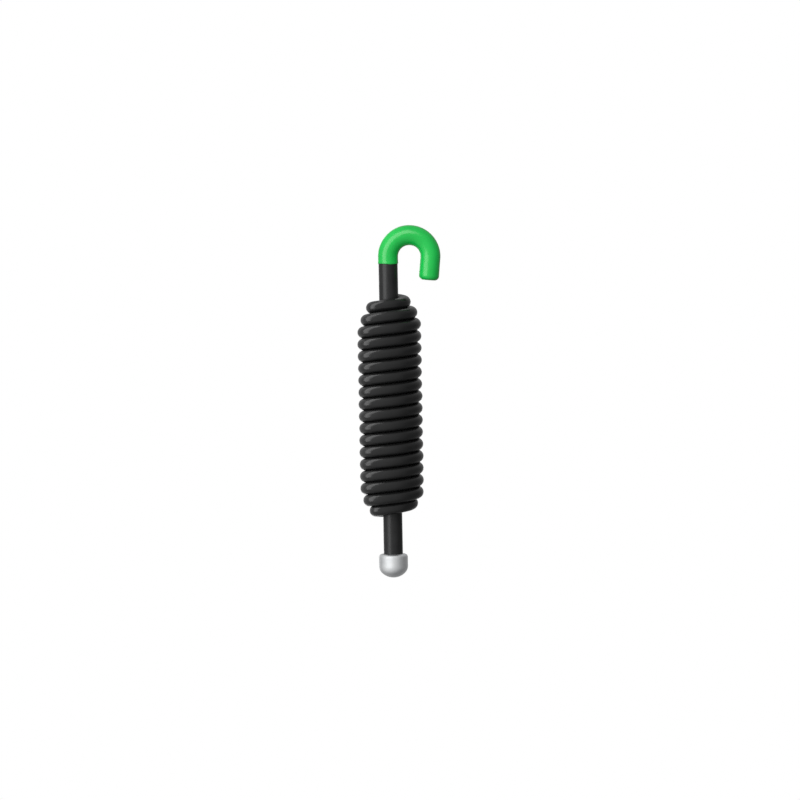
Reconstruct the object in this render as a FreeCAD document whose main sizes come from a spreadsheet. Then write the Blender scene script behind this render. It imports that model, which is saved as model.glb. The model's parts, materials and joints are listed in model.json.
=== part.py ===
import FreeCAD, Part
import math
import os

# Barrier arm balance spring, in millimetres.
# Origin: centre of the hook's bend, where the lever pin sits.
# +Z runs up along the spring, +X points from the shank to the hook's tip,
# +Y runs along the lever pin. The spring's own axis is at x = -bend_r, y = 0.

doc = FreeCAD.newDocument("barrier_arm_spring")

SIZES = [
    # coil
    ("coil_outer_d", 50.0),      # outside diameter of the full turns
    ("wire_d", 9.2),
    ("coil_pitch", 9.4),         # close wound, a hair of daylight between turns
    ("coil_turns", 18.0),
    ("end_turn_r", 12.45),       # mean radius of the coned-in end turns
    ("coil_top_drop", 32.4),     # hook centre down to the upper wire end, before it sags
    ("step_turn_r", 17.7),       # mean radius of the second turn from the top
    ("step_in_lead", 0.6),       # turns that stay at end_turn_r, then the step to step_turn_r
    ("step_in_turns", 0.65),
    ("step_out_lead", 1.7),      # turns down to the step to the full radius
    ("step_out_turns", 0.6),
    ("top_turn_sag", 0.7),       # the last turn comes down on its neighbour
    ("cone_low_lead", -0.2),
    ("cone_low_turns", 2.25),
    ("low_turn_nest", 1.35),     # the lowest turn lies partly inside the cone
    ("turn_tilt", 0.65),         # turns lie this much higher on +X and lower on -X
    # hook rod
    ("rod_d", 15.0),
    ("bend_r", 16.6),            # mean radius of the crook
    ("tip_lean", 5.5),           # degrees past the half circle
    ("tip_run", 16.8),           # straight run from the crook to the tip
    ("tip_round", 3.0),
    ("hook_head_drop", 52.5),    # hook centre down to the underside of the head
    ("hook_head_d", 25.5),
    ("hook_head_rim", 3.0),
    ("hook_head_cone", 9.4),
    ("head_round", 0.9),
    # green coat on the crook
    ("coat_wall", 0.35),
    ("coat_drop", 5.6),          # hook centre down to the edge of the coat
    # lower rod
    ("anchor_head_drop", 183.7), # hook centre down to the top of the lower head
    ("anchor_head_d", 26.8),
    ("anchor_head_rim", 3.0),
    ("anchor_head_cone", 11.0),
    ("spigot_d", 14.0),
    ("spigot_long", 12.0),
    ("spigot_point", 1.0),
    # knob
    ("knob_drop", 232.7),        # hook centre down to the knob's shoulder
    ("knob_d", 22.6),
    ("knob_tall", 18.6),
    ("knob_wall_tall", 9.4),    # shoulder down to where the nose starts
    ("knob_nose_r", 7.8),
    ("knob_edge", 2.6),
    ("knob_bore_d", 14.2),
    ("knob_bore_deep", 13.0),
    ("knob_mouth_d", 15.6),      # countersink that the lower rod seats in
]

sheet = doc.addObject("Spreadsheet::Sheet", "dims")
for row, (alias, value) in enumerate(SIZES, start=1):
    sheet.set("A%d" % row, alias)
    sheet.set("B%d" % row, str(value))
    sheet.setAlias("B%d" % row, alias)
doc.recompute()


def size(alias):
    return float(sheet.get(alias))


def vec(x, y, z=0.0):
    return FreeCAD.Vector(x, y, z)


def origin_plane(body, role):
    for feature in body.Origin.OriginFeatures:
        if feature.Role == role:
            return feature
    raise RuntimeError("no origin plane " + role)


def new_sketch(body, name, role):
    sketch = body.newObject("Sketcher::SketchObject", name)
    sketch.AttachmentSupport = [(origin_plane(body, role), "")]
    sketch.MapMode = "FlatFace"
    return sketch


def rule(sketch, name, kind, *args, formula):
    """A named dimension of a sketch, bound to the sheet."""
    import Sketcher
    index = sketch.addConstraint(Sketcher.Constraint(kind, *args))
    sketch.renameConstraint(index, name)
    sketch.setExpression("Constraints." + name, formula)


def bind(obj, path, formula):
    obj.setExpression(path, formula)


def chain(sketch, points, rules):
    """A closed run of straight lines through the points. rules gives, for each
    point, the formulas of its distance from the axis and of its height."""
    import Sketcher
    count = len(points)
    for i in range(count):
        a, b = points[i], points[(i + 1) % count]
        sketch.addGeometry(Part.LineSegment(vec(*a), vec(*b)), False)
    for i in range(count):
        sketch.addConstraint(
            Sketcher.Constraint("Coincident", i, 2, (i + 1) % count, 1))
    for i, (fx, fy) in enumerate(rules):
        if fx is None:
            sketch.addConstraint(Sketcher.Constraint("PointOnObject", i, 1, -2))
        else:
            rule(sketch, "x%d" % i, "DistanceX", -1, 1, i, 1, points[i][0], formula=fx)
        if fy is None:
            sketch.addConstraint(Sketcher.Constraint("PointOnObject", i, 1, -1))
        else:
            rule(sketch, "z%d" % i, "DistanceY", -1, 1, i, 1, points[i][1], formula=fy)


def crook_path(sketch, rise, tip, rise_formula, tip_formula):
    """Straight shank from the sketch origin, crook over to +X, straight tip."""
    import Sketcher
    r, lean = size("bend_r"), math.radians(size("tip_lean"))
    end = vec(r + r * math.cos(lean), rise - r * math.sin(lean))
    sketch.addGeometry(Part.LineSegment(vec(0, 0), vec(0, rise)), False)
    sketch.addGeometry(Part.ArcOfCircle(
        Part.Circle(vec(r, rise), vec(0, 0, 1), r), -lean, math.pi), False)
    sketch.addGeometry(Part.LineSegment(
        end, end + vec(-math.sin(lean), -math.cos(lean)) * tip), False)
    sketch.addConstraint(Sketcher.Constraint("Coincident", 0, 1, -1, 1))
    sketch.addConstraint(Sketcher.Constraint("Vertical", 0))
    sketch.addConstraint(Sketcher.Constraint("Tangent", 0, 2, 1, 2))
    sketch.addConstraint(Sketcher.Constraint("Tangent", 1, 1, 2, 1))
    rule(sketch, "rise", "DistanceY", 0, 1, 0, 2, rise, formula=rise_formula)
    rule(sketch, "crook", "Radius", 1, r, formula="dims.bend_r")
    rule(sketch, "tip", "Distance", 2, 1, 2, 2, tip, formula=tip_formula)
    # the lean puts the tip's end nearer the shank by tip * sin(lean)
    rule(sketch, "lean", "DistanceX", 2, 2, 2, 1, tip * math.sin(lean),
         formula="(" + tip_formula + ") * sin(dims.tip_lean * 1 deg)")


def section(sketch, radius, formula):
    import Sketcher
    sketch.addGeometry(Part.Circle(vec(0, 0), vec(0, 0, 1), radius), False)
    sketch.addConstraint(Sketcher.Constraint("Coincident", 0, 3, -1, 1))
    rule(sketch, "ring", "Radius", 0, radius, formula=formula)


def pipe(body, name, profile, spine):
    feature = body.newObject("PartDesign::AdditivePipe", name)
    feature.Profile = profile
    feature.Spine = (spine, ["Edge1", "Edge2", "Edge3"])
    feature.Mode = "Frenet"
    doc.recompute()
    return feature


def turn(body, name, sketch):
    feature = body.newObject("PartDesign::Revolution", name)
    feature.Profile = sketch
    feature.ReferenceAxis = (sketch, ["V_Axis"])
    feature.Angle = 360.0
    doc.recompute()
    return feature


def rounded(body, name, base, picks, formula):
    """Fillet of the circular edges of base whose centre and radius are picked."""
    names = []
    for i, edge in enumerate(base.Shape.Edges, start=1):
        if edge.Degenerated or not isinstance(edge.Curve, Part.Circle):
            continue
        curve = edge.Curve
        for centre, radius in picks:
            if (curve.Center - centre).Length < 0.02 and abs(curve.Radius - radius) < 0.02:
                names.append("Edge%d" % i)
                break
    if len(names) < len(picks):
        raise RuntimeError("%s: found %d of %d edges" % (name, len(names), len(picks)))
    feature = body.newObject("PartDesign::Fillet", name)
    feature.Base = (base, names)
    bind(feature, "Radius", formula)
    doc.recompute()
    return feature


# ---------------------------------------------------------------- coil spring
# Right-hand coil. Angles count from +X; the front is at 270 degrees. Both wire
# ends are at 90 degrees, at the back.

def ease(t):
    t = min(1.0, max(0.0, t))
    return t * t * (3.0 - 2.0 * t)


def coil_radius(u):
    """Mean radius u turns up from the lower wire end."""
    full = (size("coil_outer_d") - size("wire_d")) / 2.0
    small, step = size("end_turn_r"), size("step_turn_r")
    down = size("coil_turns") - u
    # the upper cone steps in at the back, so that each turn's front is an even ring
    top = small + (step - small) * ease((down - size("step_in_lead")) / size("step_in_turns"))
    top += (full - step) * ease((down - size("step_out_lead")) / size("step_out_turns"))
    low = small + (full - small) * ease((u - size("cone_low_lead")) / size("cone_low_turns"))
    return min(top, low)


def coil_height(u):
    """Height of the wire's middle over the level of coil_top_drop."""
    nest = size("low_turn_nest") * (1.0 - ease(u / 1.5))
    tilt = size("turn_tilt") * math.cos(math.pi / 2 + 2 * math.pi * u)
    tilt *= ease((size("coil_turns") - 0.8 - u) / 0.8)       # the last turn lies level
    sag = size("top_turn_sag") * ease((u - size("coil_turns") + 1.0) / 0.7)
    return (u - size("coil_turns")) * size("coil_pitch") + nest + tilt - sag


turns = size("coil_turns")
steps_per_turn = 24
count = int(round(turns * steps_per_turn))
coil_points = []
for i in range(count + 1):
    u = turns * i / count
    angle = math.pi / 2 + 2 * math.pi * u
    r = coil_radius(u)
    coil_points.append(vec(r * math.cos(angle), r * math.sin(angle), coil_height(u)))
coil_curve = Part.BSplineCurve()
coil_curve.interpolate(coil_points)

coil_path = doc.addObject("Part::Feature", "coil_path")
coil_path.Shape = coil_curve.toShape()
coil_path.Label = "coil_path"

start = coil_curve.value(coil_curve.FirstParameter)
along = coil_curve.tangent(coil_curve.FirstParameter)[0]
wire_section = doc.addObject("Part::Circle", "wire_section")
bind(wire_section, "Radius", "dims.wire_d / 2")
wire_section.Placement = FreeCAD.Placement(
    start, FreeCAD.Rotation(FreeCAD.Vector(0, 0, 1), along))

coil_spring = doc.addObject("Part::Sweep", "coil_spring")
coil_spring.Sections = [wire_section]
coil_spring.Spine = (coil_path, ["Edge1"])
coil_spring.Solid = True
coil_spring.Frenet = True
coil_spring.Label = "coil_spring"
bind(coil_spring, ".Placement.Base.x", "-dims.bend_r")
bind(coil_spring, ".Placement.Base.z", "-dims.coil_top_drop")
doc.recompute()

# ------------------------------------------------------------------- hook rod
# Local origin: middle of the head's underside, inside the upper cone.

hook_rod = doc.addObject("PartDesign::Body", "hook_rod")
hook_rod.Label = "hook_rod"

hook_line = new_sketch(hook_rod, "hook_line", "XZ_Plane")
crook_path(hook_line, size("hook_head_drop"), size("tip_run"),
           "dims.hook_head_drop", "dims.tip_run")
rod_ring = new_sketch(hook_rod, "rod_ring", "XY_Plane")
section(rod_ring, size("rod_d") / 2, "dims.rod_d / 2")
doc.recompute()
hook_bar = pipe(hook_rod, "hook_bar", rod_ring, hook_line)

head = new_sketch(hook_rod, "hook_head_line", "XZ_Plane")
chain(head,
      [(0, 0), (size("hook_head_d") / 2, 0),
       (size("hook_head_d") / 2, size("hook_head_rim")),
       (size("rod_d") / 2, size("hook_head_rim") + size("hook_head_cone")),
       (0, size("hook_head_rim") + size("hook_head_cone"))],
      [(None, None), ("dims.hook_head_d / 2", None),
       ("dims.hook_head_d / 2", "dims.hook_head_rim"),
       ("dims.rod_d / 2", "dims.hook_head_rim + dims.hook_head_cone"),
       (None, "dims.hook_head_rim + dims.hook_head_cone")])
doc.recompute()
hook_head = turn(hook_rod, "hook_head", head)

lean = math.radians(size("tip_lean"))
crook_end = vec(size("bend_r") * (1 + math.cos(lean)), 0,
                size("hook_head_drop") - size("bend_r") * math.sin(lean))
tip_way = vec(-math.sin(lean), 0, -math.cos(lean))
hook_tip = crook_end + tip_way * size("tip_run")
tip_edge = rounded(hook_rod, "tip_edge", hook_head,
                   [(hook_tip, size("rod_d") / 2)], "dims.tip_round")
head_edge = rounded(hook_rod, "hook_head_edge", tip_edge,
                    [(vec(0, 0, 0), size("hook_head_d") / 2),
                     (vec(0, 0, size("hook_head_rim")), size("hook_head_d") / 2)],
                    "dims.head_round")
bind(hook_rod, ".Placement.Base.x", "-dims.bend_r")
bind(hook_rod, ".Placement.Base.z", "-dims.hook_head_drop")
doc.recompute()

# --------------------------------------------------------------- green coating
# Local origin of the blank: on the shank, at the coat's lower edge.

coat_blank = doc.addObject("PartDesign::Body", "coat_blank")
coat_line = new_sketch(coat_blank, "coat_line", "XZ_Plane")
crook_path(coat_line, size("coat_drop"), size("tip_run") + size("coat_wall"),
           "dims.coat_drop", "dims.tip_run + dims.coat_wall")
coat_ring = new_sketch(coat_blank, "coat_ring", "XY_Plane")
section(coat_ring, size("rod_d") / 2 + size("coat_wall"), "dims.rod_d / 2 + dims.coat_wall")
doc.recompute()
coat_bar = pipe(coat_blank, "coat_bar", coat_ring, coat_line)
coat_tip = crook_end + tip_way * (size("tip_run") + size("coat_wall"))
coat_tip.z += size("coat_drop") - size("hook_head_drop")
coat_radius = size("rod_d") / 2 + size("coat_wall")
coat_end = rounded(coat_blank, "coat_end", coat_bar, [(coat_tip, coat_radius)],
                   "dims.tip_round + dims.coat_wall")
coat_lip = rounded(coat_blank, "coat_lip", coat_end, [(vec(0, 0, 0), coat_radius)],
                   "dims.coat_wall * 0.6")
bind(coat_blank, ".Placement.Base.x", "-dims.bend_r")
bind(coat_blank, ".Placement.Base.z", "-dims.coat_drop")
doc.recompute()

hook_coating = doc.addObject("Part::Cut", "hook_coating")
hook_coating.Base = coat_blank
hook_coating.Tool = hook_rod
hook_coating.Label = "hook_coating"
doc.recompute()

# ------------------------------------------------------------------ lower rod
# Local origin: on the axis, level with the knob's shoulder.

anchor_rod = doc.addObject("PartDesign::Body", "anchor_rod")
anchor_rod.Label = "anchor_rod"
anchor_line = new_sketch(anchor_rod, "anchor_line", "XZ_Plane")
rod_r, spigot_r, mouth_r = size("rod_d") / 2, size("spigot_d") / 2, size("knob_mouth_d") / 2
head_r = size("anchor_head_d") / 2
long_ = size("knob_drop") - size("anchor_head_drop")
rim, cone = size("anchor_head_rim"), size("anchor_head_cone")
seat_f = "(dims.knob_mouth_d - dims.rod_d) / 2"
step_f = "(dims.knob_mouth_d - dims.spigot_d) / 2"
long_f = "(dims.knob_drop - dims.anchor_head_drop)"
chain(anchor_line,
      [(0, -size("spigot_long")),
       (spigot_r - size("spigot_point"), -size("spigot_long")),
       (spigot_r, -size("spigot_long") + size("spigot_point")),
       (spigot_r, -(mouth_r - spigot_r)),
       (rod_r, -(mouth_r - rod_r)),
       (rod_r, long_ - rim - cone),
       (head_r, long_ - rim),
       (head_r, long_),
       (0, long_)],
      [(None, "-dims.spigot_long"),
       ("dims.spigot_d / 2 - dims.spigot_point", "-dims.spigot_long"),
       ("dims.spigot_d / 2", "-dims.spigot_long + dims.spigot_point"),
       ("dims.spigot_d / 2", "-" + step_f),
       ("dims.rod_d / 2", "-" + seat_f),
       ("dims.rod_d / 2", long_f + " - dims.anchor_head_rim - dims.anchor_head_cone"),
       ("dims.anchor_head_d / 2", long_f + " - dims.anchor_head_rim"),
       ("dims.anchor_head_d / 2", long_f),
       (None, long_f)])
doc.recompute()
anchor_turned = turn(anchor_rod, "anchor_turned", anchor_line)
anchor_edge = rounded(anchor_rod, "anchor_head_edge", anchor_turned,
                      [(vec(0, 0, long_), head_r), (vec(0, 0, long_ - rim), head_r)],
                      "dims.head_round")
bind(anchor_rod, ".Placement.Base.x", "-dims.bend_r")
bind(anchor_rod, ".Placement.Base.z", "-dims.knob_drop")
doc.recompute()

# ----------------------------------------------------------------------- knob
# Local origin: on the axis, level with the shoulder.

end_knob = doc.addObject("PartDesign::Body", "end_knob")
end_knob.Label = "end_knob"
knob_line = new_sketch(end_knob, "knob_line", "XZ_Plane")


def knob_sketch(sketch):
    import Sketcher
    kr, tall, wall = size("knob_d") / 2, size("knob_tall"), size("knob_wall_tall")
    nose, bore = size("knob_nose_r"), size("knob_bore_d") / 2
    mouth, deep = size("knob_mouth_d") / 2, size("knob_bore_deep")
    # two tangent arcs make the nose: a tight one at the side, a flat one below
    off, drop = kr - nose, tall - wall
    under = (off * off + drop * drop - nose * nose) / (2 * (drop - nose))
    side_c, under_c = vec(off, -wall), vec(0, -(tall - under))
    aim = math.atan2(side_c.y - under_c.y, side_c.x - under_c.x)
    joint = under_c + vec(math.cos(aim), math.sin(aim)) * under
    add = sketch.addGeometry
    add(Part.LineSegment(vec(mouth, 0), vec(kr, 0)), False)                 # 0 shoulder
    add(Part.LineSegment(vec(kr, 0), vec(kr, -wall)), False)                # 1 wall
    add(Part.ArcOfCircle(Part.Circle(side_c, vec(0, 0, 1), nose), aim, 0.0), False)          # 2
    add(Part.ArcOfCircle(Part.Circle(under_c, vec(0, 0, 1), under),
                         -math.pi / 2, aim), False)                         # 3
    add(Part.LineSegment(vec(0, -tall), vec(0, -deep)), False)              # 4 axis
    add(Part.LineSegment(vec(0, -deep), vec(bore, -deep)), False)           # 5 bore floor
    add(Part.LineSegment(vec(bore, -deep), vec(bore, -(mouth - bore))), False)  # 6 bore
    add(Part.LineSegment(vec(bore, -(mouth - bore)), vec(mouth, 0)), False)     # 7 mouth
    con = lambda *a: sketch.addConstraint(Sketcher.Constraint(*a))
    con("Coincident", 0, 2, 1, 1)
    con("Tangent", 1, 2, 2, 2)
    con("Tangent", 2, 1, 3, 2)
    con("Coincident", 3, 1, 4, 1)
    con("Coincident", 4, 2, 5, 1)
    con("Coincident", 5, 2, 6, 1)
    con("Coincident", 6, 2, 7, 1)
    con("Coincident", 7, 2, 0, 1)
    con("PointOnObject", 0, 1, -1)
    con("Horizontal", 0)
    con("Vertical", 1)
    con("PointOnObject", 3, 3, -2)
    con("PointOnObject", 4, 1, -2)
    con("PointOnObject", 4, 2, -2)
    con("Horizontal", 5)
    con("Vertical", 6)
    rule(sketch, "mouth", "DistanceX", -1, 1, 0, 1, mouth, formula="dims.knob_mouth_d / 2")
    rule(sketch, "outer", "DistanceX", -1, 1, 0, 2, kr, formula="dims.knob_d / 2")
    rule(sketch, "wall", "DistanceY", 1, 2, 1, 1, wall, formula="dims.knob_wall_tall")
    rule(sketch, "nose", "Radius", 2, nose, formula="dims.knob_nose_r")
    rule(sketch, "tall", "DistanceY", 4, 1, -1, 1, tall, formula="dims.knob_tall")
    rule(sketch, "deep", "DistanceY", 4, 2, -1, 1, deep, formula="dims.knob_bore_deep")
    rule(sketch, "bore", "DistanceX", -1, 1, 5, 2, bore, formula="dims.knob_bore_d / 2")
    rule(sketch, "sink", "DistanceY", 7, 1, -1, 1, mouth - bore,
         formula="(dims.knob_mouth_d - dims.knob_bore_d) / 2")


knob_sketch(knob_line)
doc.recompute()
knob_turned = turn(end_knob, "knob_turned", knob_line)
knob_edge = rounded(end_knob, "knob_shoulder_edge", knob_turned,
                    [(vec(0, 0, 0), size("knob_d") / 2)], "dims.knob_edge")
bind(end_knob, ".Placement.Base.x", "-dims.bend_r")
bind(end_knob, ".Placement.Base.z", "-dims.knob_drop")
doc.recompute()

# --------------------------------------------------------------- check, write

pieces = [coil_spring, hook_rod, hook_coating, anchor_rod, end_knob]
for obj in doc.Objects:
    if "Invalid" in obj.State or "Error" in obj.State:
        raise RuntimeError("%s is %s" % (obj.Name, obj.State))
for obj in pieces:
    shape = obj.Shape
    if shape.isNull() or not shape.isValid():
        raise RuntimeError("%s has no valid shape" % obj.Label)
    if len(shape.Solids) != 1:
        raise RuntimeError("%s has %d solids" % (obj.Label, len(shape.Solids)))

wire_long = coil_curve.length()
wire_area = math.pi * size("wire_d") ** 2 / 4
swept = coil_spring.Shape.Volume
if abs(swept / (wire_long * wire_area) - 1) > 0.005:
    raise RuntimeError("coil volume %.1f, wire %.1f" % (swept, wire_long * wire_area))

os.makedirs("parts", exist_ok=True)
for obj in pieces:
    obj.Shape.exportStep("parts/%s.step" % obj.Label)
    box = obj.Shape.BoundBox
    print("%s volume %.1f mm3, x %.2f..%.2f y %.2f..%.2f z %.2f..%.2f" % (
        obj.Label, obj.Shape.Volume, box.XMin, box.XMax, box.YMin, box.YMax,
        box.ZMin, box.ZMax))
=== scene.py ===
import bpy
import json
import math
import numpy as np
from mathutils import Matrix, Vector

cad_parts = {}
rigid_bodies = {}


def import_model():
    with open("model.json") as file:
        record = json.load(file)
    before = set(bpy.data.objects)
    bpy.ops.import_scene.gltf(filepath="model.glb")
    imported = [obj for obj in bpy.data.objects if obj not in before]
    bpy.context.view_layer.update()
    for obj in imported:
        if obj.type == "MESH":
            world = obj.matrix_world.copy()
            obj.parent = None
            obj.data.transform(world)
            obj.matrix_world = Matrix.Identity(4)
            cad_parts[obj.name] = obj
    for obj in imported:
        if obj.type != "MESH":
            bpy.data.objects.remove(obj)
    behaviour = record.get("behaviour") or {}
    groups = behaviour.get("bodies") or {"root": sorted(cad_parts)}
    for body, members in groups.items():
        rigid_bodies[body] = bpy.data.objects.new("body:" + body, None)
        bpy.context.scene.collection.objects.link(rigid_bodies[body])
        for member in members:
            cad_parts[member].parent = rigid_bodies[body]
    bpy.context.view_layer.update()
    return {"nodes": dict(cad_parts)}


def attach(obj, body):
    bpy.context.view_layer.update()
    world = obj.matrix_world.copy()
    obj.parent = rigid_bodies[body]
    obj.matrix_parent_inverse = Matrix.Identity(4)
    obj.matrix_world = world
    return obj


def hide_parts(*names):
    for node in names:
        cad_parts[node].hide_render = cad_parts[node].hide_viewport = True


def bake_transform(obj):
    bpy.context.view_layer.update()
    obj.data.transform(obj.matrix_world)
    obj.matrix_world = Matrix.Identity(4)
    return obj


# Barrier arm balance spring. Metres, in the model's own frame: the origin is the
# centre of the hook's bend, +Z is up, +X runs from the shank to the hook's tip.

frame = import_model()
nodes = frame["nodes"]
scene = bpy.context.scene
MM = 0.001

# sizes of the solids, in millimetres
WIRE_D, COIL_D, PITCH, TURNS = 9.39, 50.0, 9.4, 18      # wound tight: turn lies on turn
END_R, COIL_TOP = 12.36, -32.4
STEP_R, STEP_IN, STEP_OUT = 17.6, (0.6, 0.65), (1.7, 0.6)
LOW_LEAD, LOW_TURNS = -0.2, 2.25
LOW_NEST, TILT, TOP_SAG = 1.35, 0.65, 0.7
ROD_D, BEND_R, TIP_LEAN, TIP_RUN, TIP_ROUND = 15.0, 16.6, math.radians(5.5), 16.8, 3.0
COAT_WALL, COAT_DROP = 0.35, 5.6
AXIS_X = -BEND_R


# ------------------------------------------------------------------ materials

class Nodes:
    """A material's node tree with one Principled shader."""

    def __init__(self, name):
        self.mat = bpy.data.materials.new(name)
        self.mat.use_nodes = True
        self.tree = self.mat.node_tree
        self.shader = self.tree.nodes["Principled BSDF"]

    def add(self, kind, **props):
        node = self.tree.nodes.new(kind)
        for key, value in props.items():
            setattr(node, key, value)
        return node

    def link(self, a, b):
        self.tree.links.new(a, b)

    def put(self, socket, value):
        if isinstance(value, bpy.types.NodeSocket):
            self.link(value, socket)
        else:
            socket.default_value = value

    def math(self, op, a, b=0.0, clamp=False):
        node = self.add("ShaderNodeMath", operation=op, use_clamp=clamp)
        self.put(node.inputs[0], a)
        self.put(node.inputs[1], b)
        return node.outputs[0]

    def scaled(self, vector, scale, offset=(0, 0, 0)):
        node = self.add("ShaderNodeMapping")
        self.link(vector, node.inputs["Vector"])
        node.inputs["Scale"].default_value = scale
        node.inputs["Location"].default_value = offset
        return node.outputs[0]

    def noise(self, vector, scale, detail=2.0, rough=0.5, distort=0.0):
        node = self.add("ShaderNodeTexNoise")
        self.link(vector, node.inputs["Vector"])
        node.inputs["Scale"].default_value = scale
        node.inputs["Detail"].default_value = detail
        node.inputs["Roughness"].default_value = rough
        node.inputs["Distortion"].default_value = distort
        return node.outputs["Fac"]

    def ramp(self, fac, stops):
        node = self.add("ShaderNodeValToRGB")
        self.link(fac, node.inputs[0])
        points = node.color_ramp.elements
        while len(points) < len(stops):
            points.new(0.5)
        for point, (at, colour) in zip(points, stops):
            point.position = at
            point.color = (*colour, 1.0) if len(colour) == 3 else colour
        return node.outputs[0]

    def span(self, fac, low, high, from_low=0.0, from_high=1.0):
        node = self.add("ShaderNodeMapRange")
        self.put(node.inputs["Value"], fac)
        node.inputs["From Min"].default_value = from_low
        node.inputs["From Max"].default_value = from_high
        node.inputs["To Min"].default_value = low
        node.inputs["To Max"].default_value = high
        return node.outputs[0]

    def mix(self, fac, a, b, blend="MIX"):
        node = self.add("ShaderNodeMix", data_type="RGBA", blend_type=blend)
        self.put(node.inputs[0], fac)
        for socket, value in ((node.inputs[6], a), (node.inputs[7], b)):
            if isinstance(value, tuple):
                socket.default_value = (*value, 1.0)
            else:
                self.link(value, socket)
        return node.outputs[2]

    def bump(self, height, distance, strength=1.0, under=None):
        node = self.add("ShaderNodeBump")
        node.inputs["Strength"].default_value = strength
        node.inputs["Distance"].default_value = distance
        self.link(height, node.inputs["Height"])
        if under is not None:
            self.link(under, node.inputs["Normal"])
        return node.outputs[0]

    def objects(self):
        return self.add("ShaderNodeTexCoord").outputs["Object"]

    def uv(self, name):
        return self.add("ShaderNodeUVMap", uv_map=name).outputs[0]

    def finish(self, colour, rough, normal, **fixed):
        s = self.shader
        self.link(colour, s.inputs["Base Color"])
        self.link(rough, s.inputs["Roughness"])
        if normal is not None:
            self.link(normal, s.inputs["Normal"])
        for key, value in fixed.items():
            s.inputs[key.replace("_", " ")].default_value = value
        return self.mat


def coil_black():
    """Black electro-coat on spring wire: even, low sheen, a soft orange peel,
    faint drawing lines along the wire, and painted shade, darker and duller, where the turns meet."""
    n = Nodes("spring_black_coat")
    uv = n.uv("wire")                      # metres along the wire, share of the way round
    sep = n.add("ShaderNodeSeparateXYZ")
    n.link(uv, sep.inputs[0])
    # place on the wire as a point of a tube, so that nothing shows a seam
    round_ = n.math("MULTIPLY", sep.outputs[1], 2 * math.pi)
    ring = n.add("ShaderNodeCombineXYZ")
    n.link(sep.outputs[0], ring.inputs[0])
    n.link(n.math("MULTIPLY", n.math("COSINE", round_), 0.0046), ring.inputs[1])
    n.link(n.math("MULTIPLY", n.math("SINE", round_), 0.0046), ring.inputs[2])
    at = ring.outputs[0]
    cloud = n.noise(at, 90.0, 3.0, 0.55)
    fine = n.noise(at, 2600.0, 2.0, 0.5)
    peel = n.noise(at, 700.0, 2.0, 0.45)
    lines = n.noise(n.scaled(at, (14.0, 1500.0, 1500.0)), 1.0, 2.0, 0.6)
    # the sides where one turn lies on the next, which get painted shade
    side = n.math("ABSOLUTE", n.math("SINE", round_))
    meet = n.span(side, 0.0, 1.0, 0.80, 1.0)
    # painted shade: the coat is darkened and made duller where one turn meets the next
    painted_gap_shade = n.math("MULTIPLY", meet, n.span(cloud, 0.3, 1.0, 0.35, 0.7), clamp=True)
    tone = n.ramp(cloud, [(0.25, (0.0138, 0.0140, 0.0143)), (0.75, (0.0196, 0.0198, 0.0202))])
    # painted shade: the tone goes near black in the gaps between turns
    tone = n.mix(n.math("MULTIPLY", painted_gap_shade, 0.55), tone, (0.0040, 0.0040, 0.0040))
    rough = n.math("ADD", n.span(cloud, 0.15, 0.24, 0.3, 0.7),
                   n.math("ADD", n.span(fine, -0.02, 0.02), n.math("MULTIPLY", painted_gap_shade, 0.2)))
    normal = n.bump(peel, 0.00008, 0.8)
    normal = n.bump(lines, 0.00003, 0.35, normal)
    return n.finish(tone, rough, normal, Specular_IOR_Level=0.30)


def rod_black():
    """Black coat on bright drawn bar: satin, drawing lines along the bar, and
    painted shade, darker and duller, where the bar runs within the coil."""
    n = Nodes("rod_black_satin")
    at = n.objects()
    sep = n.add("ShaderNodeSeparateXYZ")
    n.link(at, sep.inputs[0])
    # painted shade: the bar is darkened and dulled where it runs within the coil
    painted_shade_in_coil = n.math("MULTIPLY", n.span(sep.outputs[2], 0.0, 1.0, -0.036, -0.041),
                    n.span(sep.outputs[2], 0.0, 1.0, -0.199, -0.195))
    cloud = n.noise(at, 110.0, 3.0, 0.55)
    fine = n.noise(at, 1100.0, 2.0, 0.5)
    lines = n.noise(n.scaled(at, (1900.0, 1900.0, 16.0)), 1.0, 3.0, 0.6)
    tone = n.ramp(cloud, [(0.25, (0.0100, 0.0102, 0.0106)), (0.75, (0.0142, 0.0145, 0.0150))])
    tone = n.mix(n.span(lines, 0.0, 0.35, 0.55, 0.8), tone, (0.016, 0.016, 0.017))
    # painted shade darkens the bar within the coil
    tone = n.mix(painted_shade_in_coil, tone, (0.0030, 0.0030, 0.0031))
    rough = n.math("ADD", n.span(cloud, 0.27, 0.34, 0.3, 0.7), n.span(lines, -0.05, 0.05, 0.3, 0.7))
    rough = n.math("ADD", rough, n.math("MULTIPLY", painted_shade_in_coil, 0.5))
    normal = n.bump(lines, 0.00005, 0.6)
    normal = n.bump(fine, 0.00003, 0.5, normal)
    return n.finish(tone, rough, normal, Specular_IOR_Level=0.26)


def green_vinyl():
    """Dipped vinyl: full green, soft waves, a smooth gloss over it; the black
    bar shows through a little where the coat runs out at its edge."""
    n = Nodes("hook_green_vinyl")
    at = n.objects()
    cloud = n.noise(at, 60.0, 2.0, 0.5)
    wave = n.noise(at, 260.0, 1.0, 0.4)
    peel = n.noise(at, 1300.0, 1.0, 0.4)
    thin = n.uv("coat")
    sep = n.add("ShaderNodeSeparateXYZ")
    n.link(thin, sep.inputs[0])
    edge = n.span(sep.outputs[0], 1.0, 0.0, 0.0, 0.0011)
    tone = n.ramp(cloud, [(0.3, (0.003, 0.378, 0.050)), (0.7, (0.005, 0.430, 0.062))])
    tone = n.mix(n.math("MULTIPLY", edge, 0.55, clamp=True), tone, (0.006, 0.17, 0.03))
    rough = n.math("ADD", n.span(cloud, 0.21, 0.27, 0.3, 0.7), n.span(peel, -0.02, 0.02))
    normal = n.bump(wave, 0.00007, 0.28)
    normal = n.bump(peel, 0.00002, 0.12, normal)
    return n.finish(tone, rough, normal, Specular_IOR_Level=0.45)


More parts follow.
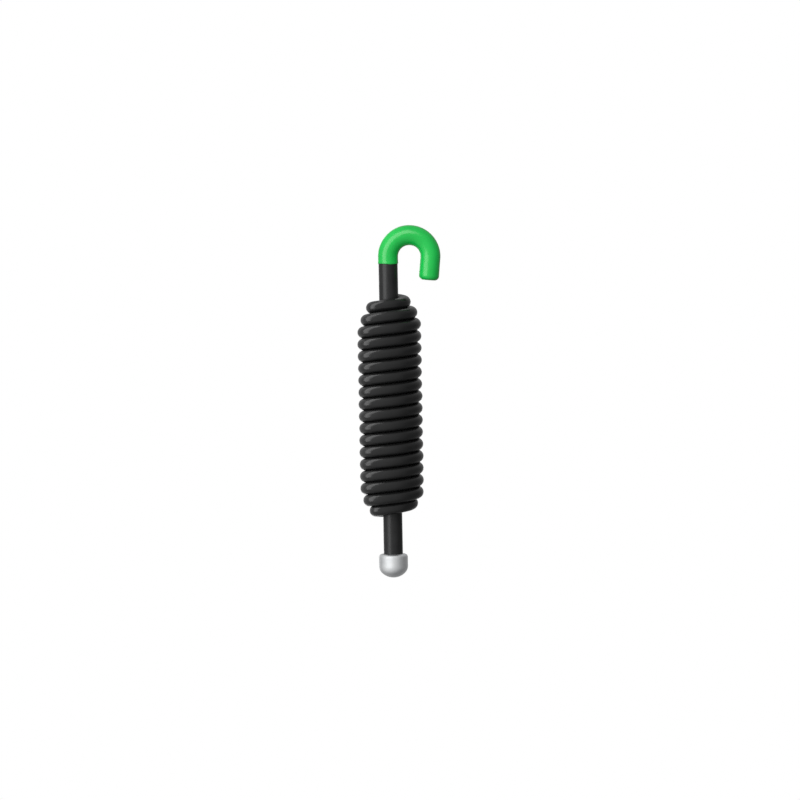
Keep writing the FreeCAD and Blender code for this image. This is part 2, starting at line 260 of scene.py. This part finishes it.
def knob_zinc():
    """Bright zinc on turned steel: fine tool rings round the axis, a faint
    blue-grey cloud from the plating."""
    n = Nodes("knob_zinc_turned")
    at = n.scaled(n.objects(), (1.0, 1.0, 1.0), (-AXIS_X * MM, 0.0, 0.0))
    sep = n.add("ShaderNodeSeparateXYZ")
    n.link(at, sep.inputs[0])
    out = n.math("SQRT", n.math("ADD", n.math("MULTIPLY", sep.outputs[0], sep.outputs[0]),
                                n.math("MULTIPLY", sep.outputs[1], sep.outputs[1])))
    # tool rings: the place along the turned profile, hardly changing round it
    place = n.add("ShaderNodeCombineXYZ")
    n.link(n.math("MULTIPLY", out, 4200.0), place.inputs[0])
    n.link(n.math("MULTIPLY", sep.outputs[2], 4200.0), place.inputs[1])
    n.link(n.math("MULTIPLY", sep.outputs[0], 25.0), place.inputs[2])
    rings = n.noise(place.outputs[0], 1.0, 2.0, 0.6)
    cloud = n.noise(at, 160.0, 3.0, 0.55)
    fine = n.noise(at, 1500.0, 2.0, 0.5)
    tone = n.ramp(cloud, [(0.3, (0.80, 0.82, 0.835)), (0.7, (0.90, 0.91, 0.915))])
    tone = n.mix(n.span(rings, 0.0, 0.25, 0.5, 0.75), tone, (0.70, 0.72, 0.74))
    rough = n.math("ADD", n.span(rings, 0.34, 0.44, 0.3, 0.7), n.span(fine, -0.03, 0.03))
    normal = n.bump(rings, 0.000012, 0.5)
    return n.finish(tone, rough, normal, Metallic=1.0)


# -------------------------------------------------------------------- meshes

def new_piece(name, verts, faces, material):
    mesh = bpy.data.meshes.new(name)
    mesh.from_pydata([tuple(v) for v in verts], [], faces)
    mesh.validate()
    mesh.update()
    mesh.materials.append(material)
    obj = bpy.data.objects.new(name, mesh)
    scene.collection.objects.link(obj)
    return obj


def smooth(obj, angle):
    obj.data.shade_smooth()
    obj.data.set_sharp_from_angle(angle=math.radians(angle))


def ease(t):
    t = np.clip(t, 0.0, 1.0)
    return t * t * (3.0 - 2.0 * t)


def coil_radius(u):
    """Mean radius in millimetres, u turns up from the lower wire end."""
    full = (COIL_D - WIRE_D) / 2
    down = TURNS - u
    # the upper cone steps in at the back, so that each turn's front is an even ring
    top = END_R + (STEP_R - END_R) * ease((down - STEP_IN[0]) / STEP_IN[1])
    top = top + (full - STEP_R) * ease((down - STEP_OUT[0]) / STEP_OUT[1])
    low = END_R + (full - END_R) * ease((u - LOW_LEAD) / LOW_TURNS)
    return np.minimum(top, low)


def coil_centre(u):
    angle = math.pi / 2 + 2 * math.pi * u
    r = coil_radius(u)
    # no two turns of a wound coil lie quite alike
    r = r + 0.07 * np.sin(2 * math.pi * u * 0.231 + 0.7) + 0.05 * np.sin(2 * math.pi * u * 0.617 + 2.1)
    z = COIL_TOP + (u - TURNS) * PITCH
    z = z + LOW_NEST * (1.0 - ease(u / 1.5))        # the lowest turn lies partly in the cone
    z = z + TILT * np.cos(angle) * ease((TURNS - 0.8 - u) / 0.8)
    z = z - TOP_SAG * ease((u - TURNS + 1.0) / 0.7)      # the last turn comes down on its neighbour
    return np.stack([AXIS_X + r * np.cos(angle), r * np.sin(angle), z], -1)


def make_coil(material):
    per_turn, around = 72, 44
    a = WIRE_D / 2
    bevel = 0.7
    u = np.arange(TURNS * per_turn + 1) / per_turn
    step = 1e-4
    centre = coil_centre(u)
    along = coil_centre(u + step) - coil_centre(u - step)
    along /= np.linalg.norm(along, axis=1, keepdims=True)
    angle = math.pi / 2 + 2 * math.pi * u
    radial = np.stack([np.cos(angle), np.sin(angle), np.zeros_like(u)], -1)
    radial -= along * np.sum(radial * along, axis=1, keepdims=True)
    radial /= np.linalg.norm(radial, axis=1, keepdims=True)
    up = np.cross(along, radial)
    up *= np.sign(up[:, 2:3])
    v = 2 * math.pi * np.arange(around) / around

    # stations along the wire: (index of the path point, shift along it, radius)
    stations = [(0, 0.0, 0.0), (0, 0.0, a * 0.45), (0, 0.0, a - bevel),
                (0, 0.12, a - bevel * 0.62), (0, 0.36, a - bevel * 0.25), (0, bevel, a)]
    last = len(u) - 1
    body = [(i, 0.0, a) for i in range(1, last)]
    stations = stations + body + [(last, -bevel, a), (last, -0.36, a - bevel * 0.25),
                                  (last, -0.12, a - bevel * 0.62), (last, 0.0, a - bevel),
                                  (last, 0.0, a * 0.45), (last, 0.0, 0.0)]
    verts, faces, turn_of, ring_start = [], [], [], []
    for i, shift, r in stations:
        ring_start.append(len(verts))
        at = centre[i] + along[i] * shift
        if r == 0.0:
            verts.append(at)
            turn_of.append(u[i])
        else:
            for q in v:
                verts.append(at + r * (math.cos(q) * radial[i] + math.sin(q) * up[i]))
                turn_of.append(u[i])
    for k in range(len(stations) - 1):
        s, e = ring_start[k], ring_start[k + 1]
        for j in range(around):
            h = (j + 1) % around
            if stations[k][2] == 0.0:
                faces.append((s, e + h, e + j))
            elif stations[k + 1][2] == 0.0:
                faces.append((s + j, s + h, e))
            else:
                faces.append((s + j, s + h, e + h, e + j))
    obj = new_piece("coil_wire", np.array(verts) * MM, faces, material)
    mesh = obj.data

    # one map of real distance along the wire and the share of the way round it,
    # and one that packs the wire two turns to a row
    length = np.concatenate([[0.0], np.cumsum(np.linalg.norm(np.diff(centre, axis=0), axis=1))])
    where = np.zeros((len(verts), 2))
    for k, (i, shift, r) in enumerate(stations):
        s = ring_start[k]
        count = 1 if r == 0.0 else around
        where[s:s + count, 0] = (length[i] + shift) * MM
        where[s:s + count, 1] = 0.0 if r == 0.0 else np.arange(around) / around
    wire = mesh.uv_layers.new(name="wire")
    packed = mesh.uv_layers.new(name="OFBake")
    rows = TURNS / 2
    wire_uv = np.zeros((len(mesh.loops), 2), np.float32)
    pack_uv = np.zeros((len(mesh.loops), 2), np.float32)
    turn_of = np.array(turn_of)
    first_body, last_body = ring_start[5], ring_start[-6]
    for poly in mesh.polygons:
        ids = np.array([mesh.loops[q].vertex_index for q in poly.loop_indices])
        share = where[ids, 1].copy()
        if share.max() - share.min() > 0.5:
            share[share < 0.5] += 1.0
        wire_uv[poly.loop_indices, 0] = where[ids, 0]
        wire_uv[poly.loop_indices, 1] = share
        low_cap = ids.min() < first_body
        high_cap = ids.max() >= last_body + around
        if low_cap or high_cap:
            base = 0 if low_cap else last
            d = np.array([verts[q] for q in ids]) - centre[base]
            px, py = d @ radial[base], d @ up[base]
            # the sloping edge is spread outwards a little, so that it keeps its width
            grow = 1.0 + 0.12 * np.abs(d @ along[base]) / bevel
            pack_uv[poly.loop_indices, 0] = (0.03 if low_cap else 0.09) + px * grow / a * 0.018
            pack_uv[poly.loop_indices, 1] = 0.978 + py * grow / a * 0.018
        else:
            mid = turn_of[ids].mean()
            row = int(mid // 2)
            pack_uv[poly.loop_indices, 0] = 0.004 + 0.992 * (turn_of[ids] - 2 * row) / 2
            pack_uv[poly.loop_indices, 1] = 0.95 * (row + 0.03 + 0.94 * share) / rows
    wire.uv.foreach_set("vector", wire_uv.ravel())
    packed.uv.foreach_set("vector", pack_uv.ravel())
    smooth(obj, 50)
    return obj, turn_of


def crook(s):
    """Point and direction in the X-Z plane, s millimetres along the coat's line
    from its lower edge on the shank. The line goes up, over and down."""
    arc = BEND_R * (math.pi + TIP_LEAN)
    if s <= COAT_DROP:
        return np.array([AXIS_X, 0, s - COAT_DROP]), np.array([0.0, 0, 1.0])
    if s <= COAT_DROP + arc:
        q = math.pi - (s - COAT_DROP) / BEND_R
        return (np.array([BEND_R * math.cos(q), 0, BEND_R * math.sin(q)]),
                np.array([math.sin(q), 0, -math.cos(q)]))
    q = -TIP_LEAN
    end = np.array([BEND_R * math.cos(q), 0, BEND_R * math.sin(q)])
    way = np.array([math.sin(q), 0, -math.cos(q)])
    return end + way * (s - COAT_DROP - arc), way


def make_coat(material):
    around = 96
    rod_r = ROD_D / 2
    out_r = rod_r + COAT_WALL
    in_r = rod_r + 0.012
    total = COAT_DROP + BEND_R * (math.pi + TIP_LEAN) + TIP_RUN     # to the bar's end face
    # outer profile: (place along the line, radius, share of the dip line's waver)
    profile = [(0.02, in_r, 1.0), (-0.02, rod_r + 0.10, 1.0), (0.0, rod_r + 0.22, 1.0),
               (0.10, rod_r + 0.36, 1.0), (0.28, out_r + 0.09, 1.0), (0.55, out_r + 0.13, 0.95),
               (0.9, out_r + 0.12, 0.85), (1.4, out_r + 0.07, 0.6), (2.0, out_r + 0.03, 0.3),
               (2.8, out_r, 0.0)]
    tip_r = TIP_ROUND + COAT_WALL
    straight_end = total + COAT_WALL - tip_r
    steps = int((straight_end - 3.4) / 0.55)
    for i in range(steps + 1):
        s = 3.4 + (straight_end - 3.4) * i / steps
        swell = 0.06 * ease((s - (straight_end - 9.0)) / 9.0)       # the coat runs to the tip
        profile.append((s, out_r + float(swell), 0.0))
    for i in range(1, 11):
        q = math.pi / 2 * i / 10
        profile.append((straight_end + (tip_r + 0.12) * math.sin(q),
                        out_r + 0.06 - tip_r + tip_r * math.cos(q), 0.0))
    flat = profile[-1]
    for share in (0.75, 0.5, 0.25):
        profile.append((flat[0] + 0.10 * (1 - share * share), flat[1] * share, 0.0))
    outer_end = flat[0] + 0.10
    # inner skin, just clear of the bar
    inner = []
    for share in (0.5, 1.0):
        inner.append((total + 0.012, (rod_r - TIP_ROUND) * share, 0.0))
    for i in range(1, 9):
        q = math.pi / 2 * (1 - i / 8)
        inner.append((total - TIP_ROUND + (TIP_ROUND + 0.012) * math.sin(q),
                      rod_r - TIP_ROUND + (TIP_ROUND + 0.012) * math.cos(q), 0.0))
    steps = 44
    for i in range(1, steps):
        inner.append((total - TIP_ROUND + (1.0 - total + TIP_ROUND) * i / steps, in_r, 0.0))
    verts, faces, along = [], [], []

    def ring(s, r, waver):
        start = len(verts)
        for j in range(around):
            q = 2 * math.pi * j / around
            off = waver * (0.16 * math.sin(2 * q + 0.6) + 0.10 * math.sin(3 * q + 2.2)
                           + 0.05 * math.sin(7 * q + 0.4))
            p, way = crook(max(0.0, s + off)) if s + off >= 0 else crook(0.0)
            if s + off < 0:
                p = p + way * (s + off)
            side = np.array([way[2], 0.0, -way[0]])       # in the plane, away from the bend's centre
            verts.append(p + r * (math.cos(q) * side + math.sin(q) * np.array([0, 1.0, 0])))
            along.append(max(0.0, s))
        return start

    def pole(s):
        p, way = crook(s)
        verts.append(p)
        along.append(s)
        return len(verts) - 1

    starts = [ring(*p) for p in profile]
    top = pole(outer_end)
    inner_top = pole(total + 0.012)
    inner_starts = [ring(*p) for p in inner]

    def strip(a, b):
        for j in range(around):
            h = (j + 1) % around
            faces.append((a + j, b + j, b + h, a + h))

    for a, b in zip(starts, starts[1:]):
        strip(a, b)
    for j in range(around):
        h = (j + 1) % around
        faces.append((starts[-1] + j, top, starts[-1] + h))
        faces.append((inner_top, inner_starts[0] + j, inner_starts[0] + h))
    for a, b in zip(inner_starts, inner_starts[1:]):
        strip(a, b)
    strip(inner_starts[-1], starts[0])
    obj = new_piece("hook_coat", np.array(verts) * MM, faces, material)
    mesh = obj.data
    coat = mesh.uv_layers.new(name="coat")
    uv = np.zeros((len(mesh.loops), 2), np.float32)
    along = np.array(along)
    for q, loop in enumerate(mesh.loops):
        uv[q, 0] = along[loop.vertex_index] * MM
        uv[q, 1] = (loop.vertex_index % around) / around
    coat.uv.foreach_set("vector", uv.ravel())
    smooth(obj, 60)
    return obj


# -------------------------------------------------------------------- pieces

coil, turn_of = make_coil(coil_black())
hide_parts("coil_spring")
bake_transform(coil)

# How far each slice of the wire would move, as a share of the stretch, if it moved as a whole
# so the wire stays round and the turns open up; it is worked out here but not applied. The seated
# end turns take no stretch, and the free turns share it by the cube of their radius.
u = np.arange(0, TURNS * 72 + 1) / 72
give = coil_radius(u) ** 3 * ease((u - 1.35) / 0.5) * ease((TURNS - 1.35 - u) / 0.5)
share = np.concatenate([[0.0], np.cumsum((give[1:] + give[:-1]) / 2)])
share = 1.0 - share / share[-1]

coat = make_coat(green_vinyl())
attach(coat, "hook")
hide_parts("hook_coating")

black = rod_black()
for name, material in (("hook_rod", black), ("anchor_rod", black), ("end_knob", knob_zinc())):
    mesh = nodes[name].data
    mesh.materials.clear()
    mesh.materials.append(material)

# --------------------------------------------------------------------- stage

floor_z = -4.0        # the spring hangs well clear of the floor
floor = bpy.data.objects.new("floor", bpy.data.meshes.new("floor"))
side = 60.0
floor.data.from_pydata([(-side, -side, floor_z), (side, -side, floor_z),
                        (side, side, floor_z), (-side, side, floor_z)], [], [(0, 1, 2, 3)])
paper = bpy.data.materials.new("floor_white")
paper.use_nodes = True
paper.node_tree.nodes.clear()
lit = paper.node_tree.nodes.new("ShaderNodeEmission")
lit.inputs["Color"].default_value = (1, 1, 1, 1)
lit.inputs["Strength"].default_value = 1.0
end = paper.node_tree.nodes.new("ShaderNodeOutputMaterial")
paper.node_tree.links.new(lit.outputs[0], end.inputs["Surface"])
floor.data.materials.append(paper)
scene.collection.objects.link(floor)
floor.visible_diffuse = False
floor.visible_glossy = False

# A white studio: the camera sees white, the object sees soft walls that are
# bright in front and on the left, a little less so behind, and dim on the right.
world = bpy.data.worlds.new("studio")
scene.world = world
world.use_nodes = True
wt = world.node_tree
wt.nodes.clear()


def wnode(kind, **props):
    node = wt.nodes.new(kind)
    for key, value in props.items():
        setattr(node, key, value)
    return node


def wmath(op, a, b, clamp=False):
    node = wnode("ShaderNodeMath", operation=op, use_clamp=clamp)
    for socket, value in zip(node.inputs, (a, b)):
        if isinstance(value, bpy.types.NodeSocket):
            wt.links.new(value, socket)
        else:
            socket.default_value = value
    return node.outputs[0]


way = wnode("ShaderNodeSeparateXYZ")
wt.links.new(wnode("ShaderNodeTexCoord").outputs["Generated"], way.inputs[0])
dx, dy, dz = way.outputs


def rise(value, start, stop, low=0.0, high=1.0):
    node = wnode("ShaderNodeMapRange", interpolation_type="SMOOTHSTEP")
    wt.links.new(value, node.inputs["Value"])
    for key, number in (("From Min", start), ("From Max", stop), ("To Min", low), ("To Max", high)):
        node.inputs[key].default_value = number
    return node.outputs[0]


def total(*values):
    out = values[0]
    for value in values[1:]:
        out = wmath("ADD", out, value)
    return out


ahead = wmath("ADD", wmath("MULTIPLY", dy, 0.88), wmath("MULTIPLY", dx, 0.47))
front = rise(ahead, -1.0, 0.20, 0.64, 0.0)
left = rise(dx, -1.0, 0.1, 0.22, 0.0)
above = rise(dz, 0.0, 1.0, 0.0, 0.35)
rear = rise(dy, 0.2, 0.95, 0.0, 0.18)
glow = total(front, left, above, rear, 0.23)
studio = wnode("ShaderNodeBackground")
wt.links.new(glow, studio.inputs["Strength"])
white = wnode("ShaderNodeBackground")
white.inputs["Strength"].default_value = 1.0
white.inputs["Color"].default_value = (1, 1, 1, 1)
choose = wnode("ShaderNodeMixShader")
wt.links.new(wnode("ShaderNodeLightPath").outputs["Is Camera Ray"], choose.inputs[0])
wt.links.new(studio.outputs[0], choose.inputs[1])
wt.links.new(white.outputs[0], choose.inputs[2])
out = wnode("ShaderNodeOutputWorld")
wt.links.new(choose.outputs[0], out.inputs["Surface"])

middle = Vector((-0.0092, 0.0, -0.1122))


def softbox(name, azimuth, elevation, distance, width, height, radiance, lean=0.0):
    """Azimuth counts from the camera's side, positive to the left. A box that
    leans has its upper end nearer to the middle of the stage."""
    a, e = math.radians(azimuth), math.radians(elevation)
    back = Vector((-math.sin(a) * math.cos(e), -math.cos(a) * math.cos(e), math.sin(e)))
    light = bpy.data.lights.new(name, "AREA")
    light.shape = "RECTANGLE"
    light.size, light.size_y = width, height
    light.energy = radiance * math.pi * width * height
    obj = bpy.data.objects.new(name, light)
    obj.location = middle + back * distance
    turn = (-back).to_track_quat("-Z", "Y").to_matrix()
    obj.rotation_euler = (turn @ Matrix.Rotation(math.radians(-lean), 3, "Z")).to_euler()
    obj.visible_camera = False
    scene.collection.objects.link(obj)
    return obj


def lights_only(light, pieces):
    """The light reaches these pieces alone."""
    group = bpy.data.collections.new(light.name + "_reaches")
    for piece in pieces:
        group.objects.link(piece)
    light.light_linking.receiver_collection = group


rods = [coat, nodes["hook_rod"], nodes["anchor_rod"]]
knob = [nodes["end_knob"]]
lights_only(softbox("side_left", 94, 22, 1.6, 0.85, 3.2, 2.6), [coil])
lights_only(softbox("front_left", 32, 25, 2.2, 1.7, 3.9, 3.2, lean=40), rods)
lights_only(softbox("front_left_low", 34, 6, 2.2, 2.2, 2.4, 0.40), knob)
lights_only(softbox("rear_top", 180, 58, 2.0, 1.4, 0.7, 1.2), [coil])
lights_only(softbox("rear_strip", 163, 0, 2.0, 0.7, 1.8, 1.8), rods)
lights_only(softbox("rear_middle", 180, -15, 2.0, 1.0, 0.8, 1.1), [coil])
lights_only(softbox("rear_low", 150, -4, 2.0, 1.0, 1.0, 0.35), knob)
lights_only(softbox("side_right_low", -62, -5, 2.2, 2.0, 2.4, 0.07), knob)

# -------------------------------------------------------------------- camera

camera = bpy.data.objects.new("camera", bpy.data.cameras.new("camera"))
camera.data.type = "PERSP"
camera.data.sensor_width = 36.0
camera.data.lens = 200.0
lift = math.radians(2.5)
roll = math.radians(1.05)
reach = 3.478
back = Vector((0.0, -math.cos(lift), math.sin(lift)))
camera.location = middle + back * reach
camera.rotation_mode = "QUATERNION"
camera.rotation_quaternion = ((-back).to_track_quat("-Z", "Y").to_matrix()
                              @ Matrix.Rotation(-roll, 3, "Z")).to_quaternion()
camera.data.clip_start, camera.data.clip_end = 0.05, 200.0
scene.collection.objects.link(camera)
scene.camera = camera

scene.view_settings.view_transform = "Standard"
scene.view_settings.look = "None"
